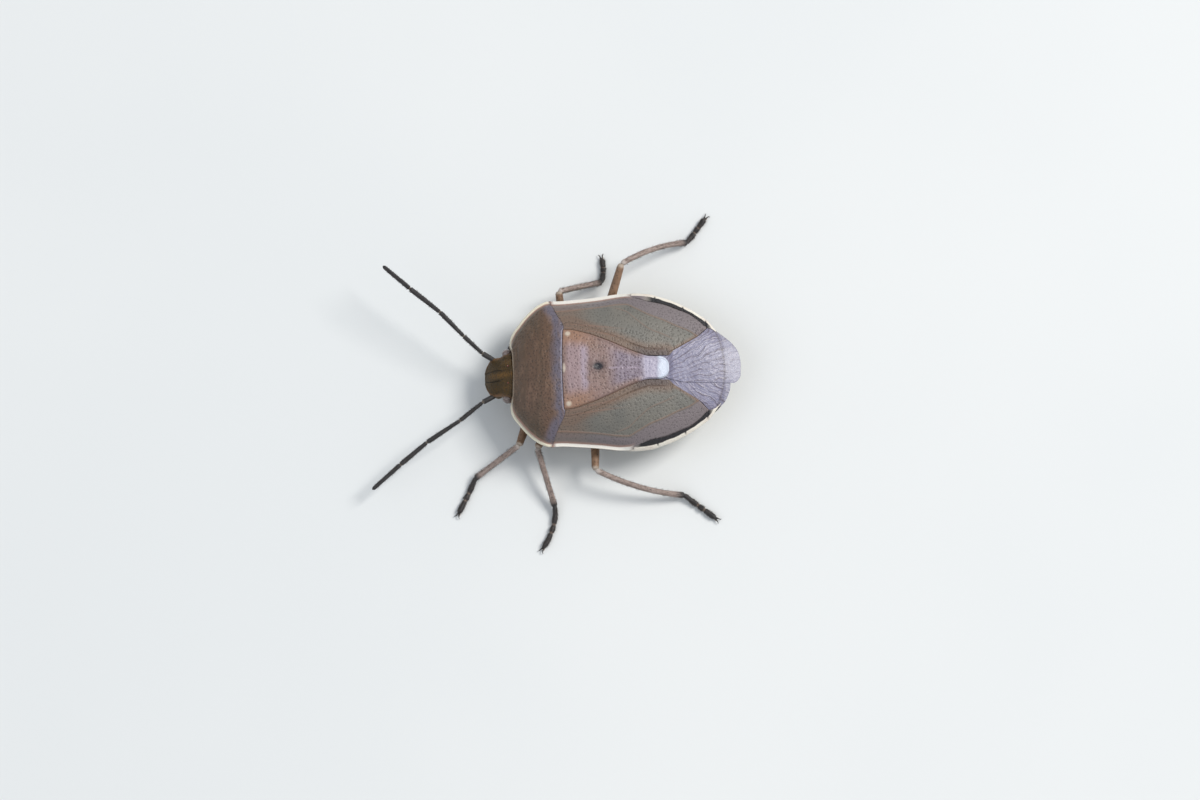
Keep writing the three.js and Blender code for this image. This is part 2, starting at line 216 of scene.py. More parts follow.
# The thorax and the abdomen below the wings are one horny box of olive-tan, pitted plates:
# breast plates with the leg sockets, then the belly's rings, closed by thin grooves. The
# domed back and the flatter underside meet in a blunt rim, and all the plates share them.
RIM_HALF = 0.12
SHELL = 0.13
CORE_SHARE = 0.985
CORE_DEPTH, CORE_INSET = 0.19, 0.45
COARSE = 4
PIT_SHARE = 0.85
TAIL_CLOSES = (11.0, 11.8)
THORAX_START, THORAX_END, ABDOMEN_START, ABDOMEN_END = 1.5, 5.65, 5.68, 11.75
THORAX_RINGS, ABDOMEN_RINGS = (2.95, 4.55), (6.3, 7.3, 8.35, 9.4, 10.4)
SOCKET_REACH = 0.42
SCENT_OPENING, SCENT_REACH = (2.05, 4.98), (0.34, 0.12)
MATT_FIELD, MATT_REACH = (2.35, 4.95), (0.7, 0.42)
BREATHING_HOLES, HOLE_REACH = 0.84, 0.016
HIPS = {"front": (1.0, 2.35), "middle": (1.1, 3.95), "hind": (1.1, 5.3)}


def along(*stations):
    """A smooth profile through (place, value) stations: cubic pieces whose slope at each
    station is the harmonic mean of the slopes on its two sides, or flat at a turn."""
    places, values = np.array(stations, float).T
    steps = np.diff(values) / np.diff(places)
    before, after = np.r_[steps[0], steps], np.r_[steps, steps[-1]]
    same_way = before * after > 0
    slopes = np.where(same_way, 2 * before * after / np.where(same_way, before + after, 1), 0)

    def value(place):
        place = np.clip(place, places[0], places[-1])
        i = np.clip(np.searchsorted(places, place) - 1, 0, len(steps) - 1)
        width = places[i + 1] - places[i]
        t = (place - places[i]) / width
        ease = t * t * (3 - 2 * t)
        bend = width * t * (1 - t) * (slopes[i] * (1 - t) - slopes[i + 1] * t)
        return values[i] * (1 - ease) + values[i + 1] * ease + bend

    return value


body_edge = along(
    (1.25, 1.55), (1.3, 1.84), (1.77, 2.57), (2.26, 3.1), (2.74, 3.45), (3.15, 3.6), (3.7, 3.58),
    (4.68, 3.64), (5.66, 3.73), (6.63, 3.85), (7.3, 3.88), (8.08, 3.82), (8.57, 3.68), (9.05, 3.52),
    (9.54, 3.3), (10.02, 3.05), (10.5, 2.74), (11, 2.35), (11.4, 1.96), (11.65, 1.75), (12.1, 1.38),
    (12.4, 1.05), (12.55, 0.8))
crest = along(
    (0, 1.45), (0.3, 1.85), (0.8, 2.3), (1.3, 2.6), (2.2, 3.25), (3, 3.6), (3.9, 3.75), (5, 3.8),
    (6, 3.72), (7.5, 3.47), (9, 3.17), (10, 2.95), (11, 2.7), (11.8, 2.45), (12.5, 2.2))
rim = along(
    (0, 1.3), (0.3, 1.5), (1.2, 1.85), (2, 2), (3.2, 2.15), (5, 2.08), (8, 2.05), (10, 2.05),
    (11.5, 2.1), (12.5, 2))
belly = along(
    (0, 1.15), (0.4, 1.05), (1.2, 0.95), (2.2, 0.85), (3, 0.75), (4.5, 0.65), (6, 0.5), (7.5, 0.4),
    (9, 0.5), (10.5, 0.9), (11.3, 1.3), (11.8, 1.65))


def back(x, s, edge=body_edge):
    """The height of the back: from the rim's top up to the crest, times the share
    (1 - q^2.4)^0.85, where q is the distance from the middle over the half width."""
    q = np.clip(np.abs(x) / edge(s), 0, 1)
    foot = rim(s) + RIM_HALF
    return foot + (crest(s) - foot) * (1 - q ** 2.4) ** 0.85


def underside(x, s, edge=body_edge):
    """The height of the underside: from the rim's foot down to the belly, times the share
    (1 - q^2.2)^0.75."""
    q = np.clip(np.abs(x) / edge(s), 0, 1)
    foot = rim(s) - RIM_HALF
    return foot - (foot - belly(s)) * (1 - q ** 2.2) ** 0.75


def scatter(i, j, seed):
    """A fixed number from 0 to 1 for each cell of a net: the fraction of a large sine."""
    return np.modf(np.abs(np.sin(i * 127.1 + j * 311.7 + seed * 74.7) * 43758.5453))[0]


def pits(x, s, spacing, radius, seed):
    """Round pits, 1 in the middle and 0 at the rim. Each cell of a square net holds one at a
    scattered place, apart from a few, and the depth falls off as a cosine."""
    column, row = np.floor(x / spacing), np.floor(s / spacing)
    depth = np.zeros_like(x)
    for i in (-1, 0, 1):
        for j in (-1, 0, 1):
            a, b = column + i, row + j
            away_x = (a + 0.1 + 0.8 * scatter(a, b, seed)) * spacing - x
            away_s = (b + 0.1 + 0.8 * scatter(a, b, seed + 1)) * spacing - s
            size = radius * (0.75 + 0.5 * scatter(a, b, seed + 2))
            away = np.clip(np.hypot(away_x, away_s) / size, 0, 1)
            here = scatter(a, b, seed + 3) < PIT_SHARE
            depth = np.maximum(depth, here * (0.5 + 0.5 * np.cos(np.pi * away)))
    return depth


def drift(x, s, size, seed):
    """Cloudy values from 0 to 1: scattered numbers on a net, eased between its corners."""
    column, row = np.floor(x / size), np.floor(s / size)
    a, b = x / size - column, s / size - row
    a, b = a * a * (3 - 2 * a), b * b * (3 - 2 * b)
    near = scatter(column, row, seed) * (1 - a) + scatter(column + 1, row, seed) * a
    far = scatter(column, row + 1, seed) * (1 - a) + scatter(column + 1, row + 1, seed) * a
    return near * (1 - b) + far * b


def rise(value, low, high):
    """The smooth step: 0 below low, 1 above high, 3t^2 - 2t^3 between."""
    t = np.clip((value - low) / (high - low), 0, 1)
    return t * t * (3 - 2 * t)


def fall(value, low, high):
    """The smooth step downwards: 1 below low, 0 above high."""
    return 1 - rise(value, low, high)


def band(value, middle, half_width):
    """A soft stripe: 1 at the middle, falling to 0 at the half width as a cosine."""
    return 0.5 + 0.5 * np.cos(np.pi * np.clip(np.abs(value - middle) / half_width, 0, 1))


def patch(x, s, at, reach, power=2):
    """A soft patch on each side of the middle line: exp(-(a^2 + b^2)^power), where a and b
    are the distances from its middle, across and lengthwise, over its reach that way."""
    across, lengthwise = (np.abs(x) - at[0]) / reach[0], (s - at[1]) / reach[1]
    return np.exp(-((across ** 2 + lengthwise ** 2) ** power))


def mesh_piece(name, points, faces, masks, paint, sharp=50):
    """A mesh from points and arrays of faces, each array with its own number of corners,
    turned so that its enclosed volume is positive, with masks on its points."""
    loops = np.concatenate([face.ravel() for face in faces])
    sizes = np.concatenate([np.full(len(face), face.shape[1]) for face in faces])
    mesh = bpy.data.meshes.new(name)
    mesh.vertices.add(len(points))
    mesh.vertices.foreach_set("co", np.ascontiguousarray(points, np.float32).ravel())
    mesh.loops.add(len(loops))
    mesh.loops.foreach_set("vertex_index", np.asarray(loops, np.int32))
    mesh.polygons.add(len(sizes))
    mesh.polygons.foreach_set("loop_start", np.asarray(np.cumsum(sizes) - sizes, np.int32))
    mesh.update(calc_edges=True)
    mesh.validate()
    for mask, values in masks.items():
        layer = mesh.attributes.new(mask, "FLOAT", "POINT")
        layer.data.foreach_set("value", np.asarray(values, np.float32))
    shape = bmesh.new()
    shape.from_mesh(mesh)
    if shape.calc_volume(signed=True) < 0:
        bmesh.ops.reverse_faces(shape, faces=shape.faces)
    shape.to_mesh(mesh)
    shape.free()
    mesh.shade_smooth()
    mesh.set_sharp_from_angle(angle=math.radians(sharp))
    mesh.materials.append(paint.material)
    piece = bpy.data.objects.new(name, mesh)
    bpy.context.collection.objects.link(piece)
    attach(piece, "root")
    return piece


def quads(net):
    """The four-cornered faces of a net of point numbers."""
    return np.stack([net[:-1, :-1], net[:-1, 1:], net[1:, 1:], net[1:, :-1]], axis=-1).reshape(-1, 4)


def plate(name, x, s, fine, coarse, paint, **masks):
    """A closed plate over grids of x and s. The fine height is kept at every grid point, the
    coarse one, on the hidden side, at every fourth, and a wall joins the two round the rim."""
    rows, columns = x.shape
    index = np.arange(rows * columns).reshape(rows, columns)
    inner_x, inner_s, inner_z = (grid[::COARSE, ::COARSE] for grid in (x, s, coarse))
    inner = np.arange(inner_x.size).reshape(inner_x.shape) + index.size
    points = np.concatenate([place(x, s, fine).reshape(-1, 3),
                             place(inner_x, inner_s, inner_z).reshape(-1, 3)])

    def outline(net):
        return np.concatenate([net[0, :-1], net[:-1, -1], net[-1, :0:-1], net[:0:-1, 0]])

    outer_loop, inner_loop = outline(index), outline(inner)
    steps = np.arange(len(inner_loop))
    corners = (steps[:, None] * COARSE + np.arange(COARSE, -1, -1)) % len(outer_loop)
    walls = np.concatenate([outer_loop[corners], inner_loop[steps][:, None],
                            inner_loop[(steps + 1) % len(inner_loop)][:, None]], axis=1)
    faces = [quads(index), quads(inner)[:, ::-1], walls]
    hidden = np.zeros(inner_x.size)
    masks = {key: np.concatenate([np.broadcast_to(mask, x.shape).ravel(), hidden])
             for key, mask in masks.items()}
    masks["inside"] = np.concatenate([np.zeros(x.size), hidden + 1])
    return mesh_piece(name, points, faces, masks, paint)


def grid(across, lengthwise):
    """Two grids from 0 to 1, across and lengthwise, with the given numbers of coarse cells."""
    return np.meshgrid(np.linspace(0, 1, across * COARSE + 1),
                       np.linspace(0, 1, lengthwise * COARSE + 1))


def arcs(x, s, z):
    """Lengths measured over a surface: across, from its middle column, and backwards, from
    its first row."""
    across = np.cumsum(np.hypot(np.diff(x, axis=1, prepend=x[:, :1]),
                                np.diff(z, axis=1, prepend=z[:, :1])), axis=1)
    backwards = np.cumsum(np.hypot(np.diff(s, axis=0, prepend=s[:1]),
                                   np.diff(z, axis=0, prepend=z[:1])), axis=0)
    return across - across[:, across.shape[1] // 2, None], backwards


def core(name, start, end, half_width, grooves, paint, cells, *nodes):
    """A length of the body below the wings. Grooves are the places of its ring joints, which
    bend forwards at the sides."""
    u, v = grid(*cells)
    s = start + (end - start) * v
    x = np.sin((u - 0.5) * np.pi) * half_width(s)
    q = np.abs(x) / body_edge(s)
    pit = pits(*arcs(x, s, underside(x, s)), spacing=0.17, radius=0.055, seed=11)
    seams = sum(band(s + 0.55 * q ** 4, groove, 0.07) for groove in grooves)
    socket = sum(np.exp(-((np.hypot(np.abs(x) - hip[0], s - hip[1]) / SOCKET_REACH) ** 4))
                 for hip in HIPS.values())
    keel = band(x, 0, 0.1) * 0.6
    scent = patch(x, s, SCENT_OPENING, SCENT_REACH) * (s <= THORAX_END)
    matt = patch(x, s, MATT_FIELD, MATT_REACH) * (s <= THORAX_END)
    low = underside(x, s) + 0.02 * pit * (1 - matt) + 0.035 * seams - 0.03 * keel + 0.05 * scent
    low += 0.012 * (drift(x, s, 0.5, 13) + drift(x, s, 0.2, 15) - 1)
    top = np.maximum(back(x, s, lambda s: body_edge(s) - CORE_INSET) - CORE_DEPTH,
                     underside(x, s) + 0.04)
    low += (top - 0.05 - low) * rise(s, *TAIL_CLOSES) ** 2
    dots = sum(np.exp(-((np.hypot(q - BREATHING_HOLES, (s - groove - 0.45) / 3) / HOLE_REACH) ** 4))
               for groove in grooves)
    piece = plate(name, x, s, low, top, paint, pit=pit, seam=seams, side=q, socket=socket,
                  dot=np.clip(dots + 0.6 * scent, 0, 1), cloud=drift(x, s, 0.5, 3), matt=matt)
    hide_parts(*nodes)


belly_paint = Paint("belly_paint", (0.30, 0.235, 0.115), 0.42)
belly_paint.layers(cloud=(0.2, 0.16, 0.085, 0.7))
belly_paint.coat(belly_paint.span(belly_paint.mask("side"), 0.72, 0.95), (0.36, 0.30, 0.17))
belly_paint.layers(
    pit=(0.045, 0.035, 0.022, 0.85),
    seam=(0.10, 0.075, 0.04, 0.8),
    matt=(0.16, 0.135, 0.09, 0.7),
    socket=(0.09, 0.06, 0.035, 0.7),
    dot=(0.01, 0.008, 0.008, 1),
    inside=(0.035, 0.028, 0.03, 1),
)
belly_paint.roughen(0.05, 0.006)

abdomen_shelf = along(
    (7, 3.84), (7.4, 3.74), (8.08, 3.5), (8.8, 3.35), (9.54, 3.06), (10.02, 2.86), (10.5, 2.5),
    (10.9, 2.12), (11.1, 2.07), (11.4, 1.85), (11.62, 1.5), (11.75, 0.95))
core("thorax_box", THORAX_START, THORAX_END, lambda s: CORE_SHARE * body_edge(s), THORAX_RINGS,
     belly_paint, (44, 26), "thorax")
core("abdomen_box", ABDOMEN_START, ABDOMEN_END,
     lambda s: np.minimum(CORE_SHARE * body_edge(s), abdomen_shelf(s) + 0.02), ABDOMEN_RINGS,
     belly_paint, (46, 38), "abdomen")

# The head is a flat wedge of dark olive-brown horn: a long middle lobe between two side
# lobes with thin paler edges, pitted all over, with two small red simple eyes behind.
HEAD_END = 1.56
head_edge = along(
    (0, 0.3), (0.07, 0.52), (0.15, 0.66), (0.3, 0.88), (0.5, 0.96), (0.8, 0.97), (1.0, 1.06),
    (1.25, 1.16), (1.4, 1.3), (1.56, 1.5))
lobe_edge = along((0, 0.16), (0.25, 0.24), (0.6, 0.26), (1.0, 0.2), (1.3, 0.12))
pronotum_front = along(
    (0, 1.45), (1, 1.41), (1.5, 1.26), (1.84, 1.3), (2.57, 1.77), (3.1, 2.26), (3.4, 2.65),
    (3.58, 3.05))

u, v = grid(34, 22)
s = HEAD_END * v ** 1.15
x = (2 * u - 1) * head_edge(s)
off = np.abs(x)
q = off / head_edge(s)
inset = (1 - q) * head_edge(s)
lobe_groove = band(off, lobe_edge(s), 0.055) * fall(s, 0.75, 1.1)
pit = pits(x, s, spacing=0.1, radius=0.042, seed=21) * rise(inset, 0.03, 0.08)
side_dip = patch(x, s, (0.62, 0.75), (0.2, 0.3), 1)
ridges = 0.5 + 0.5 * np.sin(2 * np.pi * (s / 0.11 + 0.8 * off + 1.5 * drift(x, s, 0.35, 5)))
top = back(x, s, head_edge) - 0.05 * lobe_groove - 0.022 * pit - 0.04 * side_dip
top += 0.008 * ridges + 0.03 * band(inset, 0.03, 0.05) - 0.05 * fall(inset, 0, 0.03)
top += 0.14 * patch(x, s, (1.0, 1.12), (0.16, 0.26), 1.5)
top -= 0.17 * rise(s - pronotum_front(off), -0.06, 0.02)
beak_ridge = band(off, 0.24, 0.09) * rise(s, 0.15, 0.4) * fall(s, 1.2, 1.5)
low = underside(x, s, head_edge) + 0.09 * rise(q, 0.75, 1) * fall(s, 0.7, 1.1) - 0.09 * beak_ridge
low = np.minimum(low, top - 0.04)
head_paint = Paint("head_paint", (0.078, 0.041, 0.008), 0.45, Specular_IOR_Level=0.3)
head_paint.layers(
    cloud=(0.036, 0.022, 0.005, 0.8),
    side=(0.18, 0.095, 0.045, 0.85),
    middle=(0.16, 0.08, 0.018, 0.65),
    pit=(0.02, 0.014, 0.009, 0.9),
    groove=(0.025, 0.018, 0.01, 0.8),
    inside=(0.14, 0.10, 0.055, 1),
)
head_paint.roughen(0.04, 0.005)
head = plate(
    "head_shell", x, s, top, low, head_paint,
    pit=pit,
    groove=lobe_groove,
    cloud=drift(x, s, 0.3, 8),
    side=rise(q, 0.8, 0.97),
    middle=np.clip(band(x, 0, 0.22) * rise(s, 0.1, 0.5)
                   + 0.7 * band(off, 0.62, 0.22) * rise(s, 0.7, 1.1), 0, 1),
)
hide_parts("head")

# The compound eyes are glossy beads of hundreds of facets, set where the head is widest,
# against the front corners of the pronotum. Their dark red-brown is made paler and greyer
# by a painted reflection of the sky. The simple eyes are plain red beads.


def ring_net(rows, around):
    """The numbers of points that lie in rings, with each ring's first one again at its end."""
    net = np.arange(rows * around).reshape(rows, around)
    return np.concatenate([net, net[:, :1]], axis=1)


def dome(name, centre, reach, paint, around=48, high=32):
    """An ellipsoid as a grid of meridians and parallels, with a face fan at each pole."""
    turn, lift = np.meshgrid(np.arange(around) / around * 2 * np.pi,
                             np.linspace(-0.5, 0.5, high + 1)[1:-1] * np.pi)
    x = centre[0] + reach[0] * np.cos(turn) * np.cos(lift)
    s = centre[1] + reach[1] * np.sin(turn) * np.cos(lift)
    z = centre[2] + reach[2] * np.sin(lift)
    poles = place(centre[0], centre[1], centre[2] + np.array([-reach[2], reach[2]]))
    points = np.concatenate([place(x, s, z).reshape(-1, 3), poles])
    net = ring_net(*x.shape)
    foot = np.stack([net[0, 1:], net[0, :-1], np.full(around, x.size)], axis=-1)
    cap = np.stack([net[-1, :-1], net[-1, 1:], np.full(around, x.size + 1)], axis=-1)
    return mesh_piece(name, points, [quads(net), foot, cap], {}, paint)


# The eyes' base colour is their own dark red-brown lightened by a painted reflection of the sky.
eye_and_painted_reflection_paint = Paint("eye_and_painted_reflection_paint", (0.17, 0.125, 0.115), 0.2, Coat_Weight=1.0, Coat_Roughness=0.06)
eye_and_painted_reflection_paint.clouds(0.15, (0.11, 0.072, 0.06))
eye_and_painted_reflection_paint.bump(eye_and_painted_reflection_paint.cells(0.022, 0.25), 0.004, 0.6)
EYE_FULLNESS, EYE_SHIFT = 1.12, (0, 0.05, 0)
STUB_AT, STUB_REACH = (0.84, 0.66, 1.5), (0.17, 0.22, 0.15)
SIMPLE_EYE_AT, SIMPLE_EYE_REACH = (0.42, 1.2), (0.048, 0.048, 0.04)
simple_eye_paint = Paint("simple_eye_paint", (0.16, 0.045, 0.02), 0.08, Coat_Weight=0.5)
simple_eye_paint.clouds(0.03, (0.1, 0.02, 0.012))
SIDES = {"left": 1, "right": -1}
for name, side in SIDES.items():
    lo, hi = (np.array(corner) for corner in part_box(f"eye_{name}"))
    centre = ((lo + hi) / 2 - place(0, 0, 0)) / MM + EYE_SHIFT
    eye = dome(f"compound_eye_{name}", centre, (hi - lo) / 2 / MM * EYE_FULLNESS, eye_and_painted_reflection_paint)
    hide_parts(f"eye_{name}")
    stub = dome(f"feeler_stub_{name}", (side * STUB_AT[0], *STUB_AT[1:]), STUB_REACH, head_paint, 32, 20)
    at = (side * SIMPLE_EYE_AT[0], SIMPLE_EYE_AT[1])
    bead = dome(f"simple_eye_{name}", (*at, float(back(*at, head_edge)) + 0.01), SIMPLE_EYE_REACH,
                simple_eye_paint, 24, 16)

# The beak is a jointed sheath of four horny pieces, hinged under the front of the head and
# folded back between the legs.


def frames(path):
    """Unit tangents along a path, and two unit cross directions that turn as little as they
    can from point to point."""
    tangents = np.gradient(path, axis=0)
    tangents /= np.linalg.norm(tangents, axis=1, keepdims=True)
    first = np.cross(tangents[0], [0, 0, 1])
    across = [first / np.linalg.norm(first)]
    for tangent in tangents[1:]:
        kept = across[-1] - tangent * (across[-1] @ tangent)
        across.append(kept / np.linalg.norm(kept))
    across = np.array(across)
    return tangents, across, np.cross(across, tangents)


def tube(name, path, radius, paint, around=20, flat=0.0, **masks):
    """A limb: rings of the given radius carried along a path in millimetres, closed at both
    ends. flat presses a shallow channel into its upper side."""
    tangents, across, upwards = frames(path)
    angle = np.arange(around) / around * 2 * np.pi
    from_above = np.mod(angle - np.pi / 2 + np.pi, 2 * np.pi) - np.pi
    reach = radius[:, None] * (1 - flat * np.exp(-(from_above / 0.5) ** 2))
    rings = path[:, None, :] + reach[..., None] * (across[:, None, :] * np.cos(angle)[:, None]
                                                    + upwards[:, None, :] * np.sin(angle)[:, None])
    points = place(*np.moveaxis(rings, -1, 0)).reshape(-1, 3)
    net = ring_net(len(path), around)
    faces = [quads(net), net[:1, -2::-1], net[-1:, :-1]]
    masks = {key: np.repeat(np.broadcast_to(mask, radius.shape), around) for key, mask in masks.items()}
    return mesh_piece(name, points, faces, masks, paint, sharp=70)


def polyline(corners, count):
    """Points at even steps along straight lines between corners, and the share of the way
    at which each corner lies."""
    corners = np.array(corners, float)
    lengths = np.r_[0, np.cumsum(np.linalg.norm(np.diff(corners, axis=0), axis=1))]
    steps = np.linspace(0, lengths[-1], count)
    path = np.stack([np.interp(steps, lengths, corners[:, k]) for k in range(3)], axis=1)
    return path, lengths / lengths[-1]


limb_paint = Paint("limb_paint", (0.25, 0.145, 0.085), 0.42)
limb_paint.clouds(0.35, (0.18, 0.1, 0.055), 0.8)
limb_paint.speckles(0.13, (0.035, 0.022, 0.014), 0.8)
limb_paint.layers(dark=(0.018, 0.014, 0.013, 1), pale=(0.5, 0.43, 0.35, 0.8))
limb_paint.roughen(0.05, 0.008)
BEAK = [(0, 0.3, 1.35), (0, 0.62, 0.98), (0, 1.6, 0.7), (0, 3, 0.5), (0, 4.0, 0.44), (0, 4.95, 0.42)]
BEAK_STEPS = 120
path, joints = polyline(BEAK, BEAK_STEPS)
share = np.linspace(0, 1, BEAK_STEPS)
dips = sum(band(share, joint, 0.02) for joint in joints[1:-1])
beak_radius = (0.15 - 0.07 * share) * (1 - 0.3 * dips) * np.sqrt(np.clip((1.02 - share) / 0.06, 0, 1))
beak = tube("beak", path, beak_radius, limb_paint, dark=rise(share, 0.8, 1), pale=dips * 0.4)
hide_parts("rostrum")

# The feelers are black, of five slim joints that swell a little towards their ends, with
# pale narrow necks between, and grow from short stubs under the sides of the head.
FEELERS = {
    "left": [(0.72, 0.75, 1.5), (1.2, -0.1, 1.75), (2.06, -1.23, 1.7), (3.05, -2.88, 1.47),
             (4.07, -4.2, 1.28), (5.24, -5.61, 1.1)],
    "right": [(-0.72, 0.75, 1.5), (-1.2, -0.08, 1.85), (-2.02, -0.95, 2.2), (-3.17, -2.06, 2.6),
              (-4.34, -3.49, 2.8), (-5.48, -4.78, 2.9)],
}
FEELER_STEPS, BARE_STEPS = 300, 30
FEELER_RADII = ((0.11, 0.13), (0.085, 0.105), (0.09, 0.115), (0.1, 0.12), (0.11, 0.1))
feeler_paint = Paint("feeler_paint", (0.016, 0.014, 0.014), 0.4)
feeler_paint.clouds(0.2, (0.03, 0.026, 0.026))
feeler_paint.layers(pale=(0.42, 0.33, 0.24, 0.8))
feeler_paint.roughen(0.03, 0.008)
feeler_limbs = []
for name, corners in FEELERS.items():
    path, joints = polyline(corners, FEELER_STEPS)
    share = np.linspace(0, 1, FEELER_STEPS)
    radius = np.zeros(FEELER_STEPS)
    for (thin, thick), start, end in zip(FEELER_RADII, joints[:-1], joints[1:]):
        t = (share - start) / (end - start)
        own = thin + (thick - thin) * rise(t, 0, 0.75)
        own *= np.clip(1.02 - np.abs(2 * t - 1) ** 40, 0.6, 1)
        radius = np.where((t >= 0) & (t <= 1), own, radius)
    radius *= np.clip((1.005 - share) / 0.02, 0.15, 1) ** 0.5
    necks = 0.45 * sum(band(share, joint, 0.007) for joint in joints[1:-1])
    feeler = tube(f"feeler_{name}", path, radius, feeler_paint, 16, pale=necks)
    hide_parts(*(f"antenna_{name}_{number}" for number in range(1, 6)))
    feeler_limbs.append((path[BARE_STEPS:], radius[BARE_STEPS:]))

# The pronotum is the broad horny shield behind the head: brown, pitted and finely wrinkled
# across, with two smooth low swellings in front and a thin raised ivory border at each side.
PRONOTUM_SIDE = 3.58
pronotum_back = along((0, 3.9), (1.9, 3.94), (2.05, 4.0), (2.8, 3.64), (3.58, 3.25))


def side_border(x, s):
    """The distance to the pronotum's side: outwards to the edge, times the cosine of the
    edge's slant."""
    slant = (body_edge(s + 0.02) - body_edge(s - 0.02)) / 0.04
    return (body_edge(s) - np.abs(x)) / np.sqrt(1 + slant ** 2)


u, v = grid(88, 32)
x = (2 * u - 1) * PRONOTUM_SIDE
off = np.abs(x)
front, rear = pronotum_front(off), pronotum_back(off)
s = front + (rear - front) * v
border = side_border(x, s)
border_share = fall(s, 3.1, 3.35)
swelling = patch(x, s, (0.95, 1.95), (0.5, 0.22))
smooth = np.clip(swelling + rise(0.26 - border, 0, 0.04) * border_share, 0, 1)
pit = pits(*arcs(x, s, back(x, s)), spacing=0.15, radius=0.058, seed=31) * (1 - smooth)
wrinkle = drift(x * 0.3, s, 0.13, 33) + 0.6 * drift(x * 0.5, s, 0.07, 34) - 0.8
flat = fall(border, 0.1, 0.36)
top = back(x, s) - (back(x, s) - rim(s) - RIM_HALF) * flat
top += 0.03 * swelling + 0.022 * wrinkle * (1 - smooth) - 0.026 * pit
top += (0.035 * band(border, 0.08, 0.09) - 0.02 * band(border, 0.2, 0.06)) * border_share
top -= 0.05 * fall(s - front, 0, 0.08) + 0.02 * fall(rear - s, 0, 0.1)
low = np.maximum(back(x, s) - SHELL, underside(x, s)) + 0.07 * fall(rear - s, 0.05, 0.25)
low = np.minimum(low, top - 0.09 + 0.07 * fall(rear - s, 0.05, 0.25))
pronotum_paint = Paint("pronotum_paint", (0.14, 0.077, 0.048), 0.4)
pronotum_paint.layers(
    cloud=(0.09, 0.054, 0.03, 0.6),
    fore=(0.085, 0.055, 0.03, 0.75),
    stripe=(0.085, 0.055, 0.032, 0.45),
    # A painted sheen: the bluish band along the hind slope is the sky's reflection painted in.
    rear=(0.137, 0.13, 0.18, 0.75),
    bright=(0.24, 0.145, 0.09, 0.45),
    pit=(0.03, 0.02, 0.015, 0.65),
    inner_border=(0.42, 0.25, 0.2, 1),
    border=(0.8, 0.74, 0.58, 1),
    collar=(0.36, 0.27, 0.19, 0.7),
    hem=(0.4, 0.37, 0.46, 0.75),
    inside=(0.2, 0.15, 0.08, 1),
)
pronotum_paint.roughen(0.05, 0.006)
front_rim = rise(off, 1.18, 1.3) * fall(s - front, 0.07, 0.12) * fall(s, 1.9, 2.2)
pronotum = plate(
    "pronotum_shield", x, s, top, low, pronotum_paint,
    pit=pit,
    cloud=drift(x, s, 0.55, 35),
    fore=np.clip(fall(s, 1.5, 2.2) * 0.7 + rise(off, 1.4, 2.6) * fall(s, 2.4, 3.2), 0, 1),
    # Where the painted bluish sheen of the sky lies, along the hind slope.
    rear=rise(rear - s + 0.15 * drift(x, s, 0.3, 38), 0.75, 0.3),
    stripe=band(s + 0.1 * off, 2.15, 0.2) + 0.7 * band(s + 0.1 * off, 2.95, 0.15),
    bright=rise(wrinkle, -0.1, 0.6) * drift(x, s, 0.9, 37),
    border=np.maximum(rise(0.15 - border, 0, 0.03) * border_share, front_rim),
    inner_border=rise(0.24 - border, 0, 0.06) * border_share,
    collar=rise(0.09 - (s - front), 0, 0.04) * fall(off, 1.3, 1.6),
    hem=rise(0.06 - (rear - s), 0, 0.03) * rise(2.1 - off, 0, 0.2),
)
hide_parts("pronotum")

# The scutellum is the long horny triangle that covers the middle of the back: brown, orange
# at its sides, and pitted, with three ivory spots in front, a dark dimple and an ivory tip.
SCUTELLUM_START, SCUTELLUM_TIP = 3.83, 9.06
scutellum_edge = along(
    (3.83, 1.9), (4.1, 1.95), (5.17, 1.7), (6.14, 1.33), (6.87, 1), (7.6, 0.7), (8.1, 0.56),
    (8.6, 0.55), (8.85, 0.47), (9.0, 0.32), (9.06, 0.14))
u, v = grid(46, 60)
s = SCUTELLUM_START + (SCUTELLUM_TIP - SCUTELLUM_START) * v
half = scutellum_edge(s)
x = (2 * u - 1) * half
off = np.abs(x)
q = off / half
inset = np.minimum((1 - q) * half, SCUTELLUM_TIP + 0.02 - s)
spot = 0.75 * patch(x, s, (1.72, 4.2), (0.12, 0.13)) + 0.65 * patch(x, s, (0, 4.0), (0.22, 0.08))
dimple_reach = ((x + 0.05) / 0.17) ** 2 + ((s - 5.66) / 0.22) ** 2
dimple = np.exp(-(dimple_reach ** 1.3))
white = rise(s + 0.25 * (drift(x, s, 0.3, 43) - 0.5), 8.4, 8.62)
half_white = rise(s + 0.3 * (drift(x, s, 0.3, 45) - 0.5), 7.5, 8.0)
pit = pits(x, s, spacing=0.17, radius=0.062, seed=41) * (1 - np.clip(spot + white, 0, 1))
pit *= rise(inset, 0.02, 0.08)
wrinkle = drift(x * 0.35, s, 0.15, 47) + 0.6 * drift(x * 0.6, s, 0.08, 48) - 0.8
top = back(x, s) + 0.05 - 0.027 * pit + 0.025 * spot - 0.07 * dimple + 0.02 * wrinkle * (1 - white)
top += 0.025 * band(inset, 0.07, 0.07) * rise(s, 4.6, 5.2) + 0.02 * white
top -= 0.065 * fall(inset, 0, 0.06) + 0.14 * fall(s - pronotum_back(off), -0.02, 0.06)
low = np.minimum(back(x, s) - 0.055, top - 0.02)
scutellum_paint = Paint("scutellum_paint", (0.27, 0.18, 0.165), 0.36)
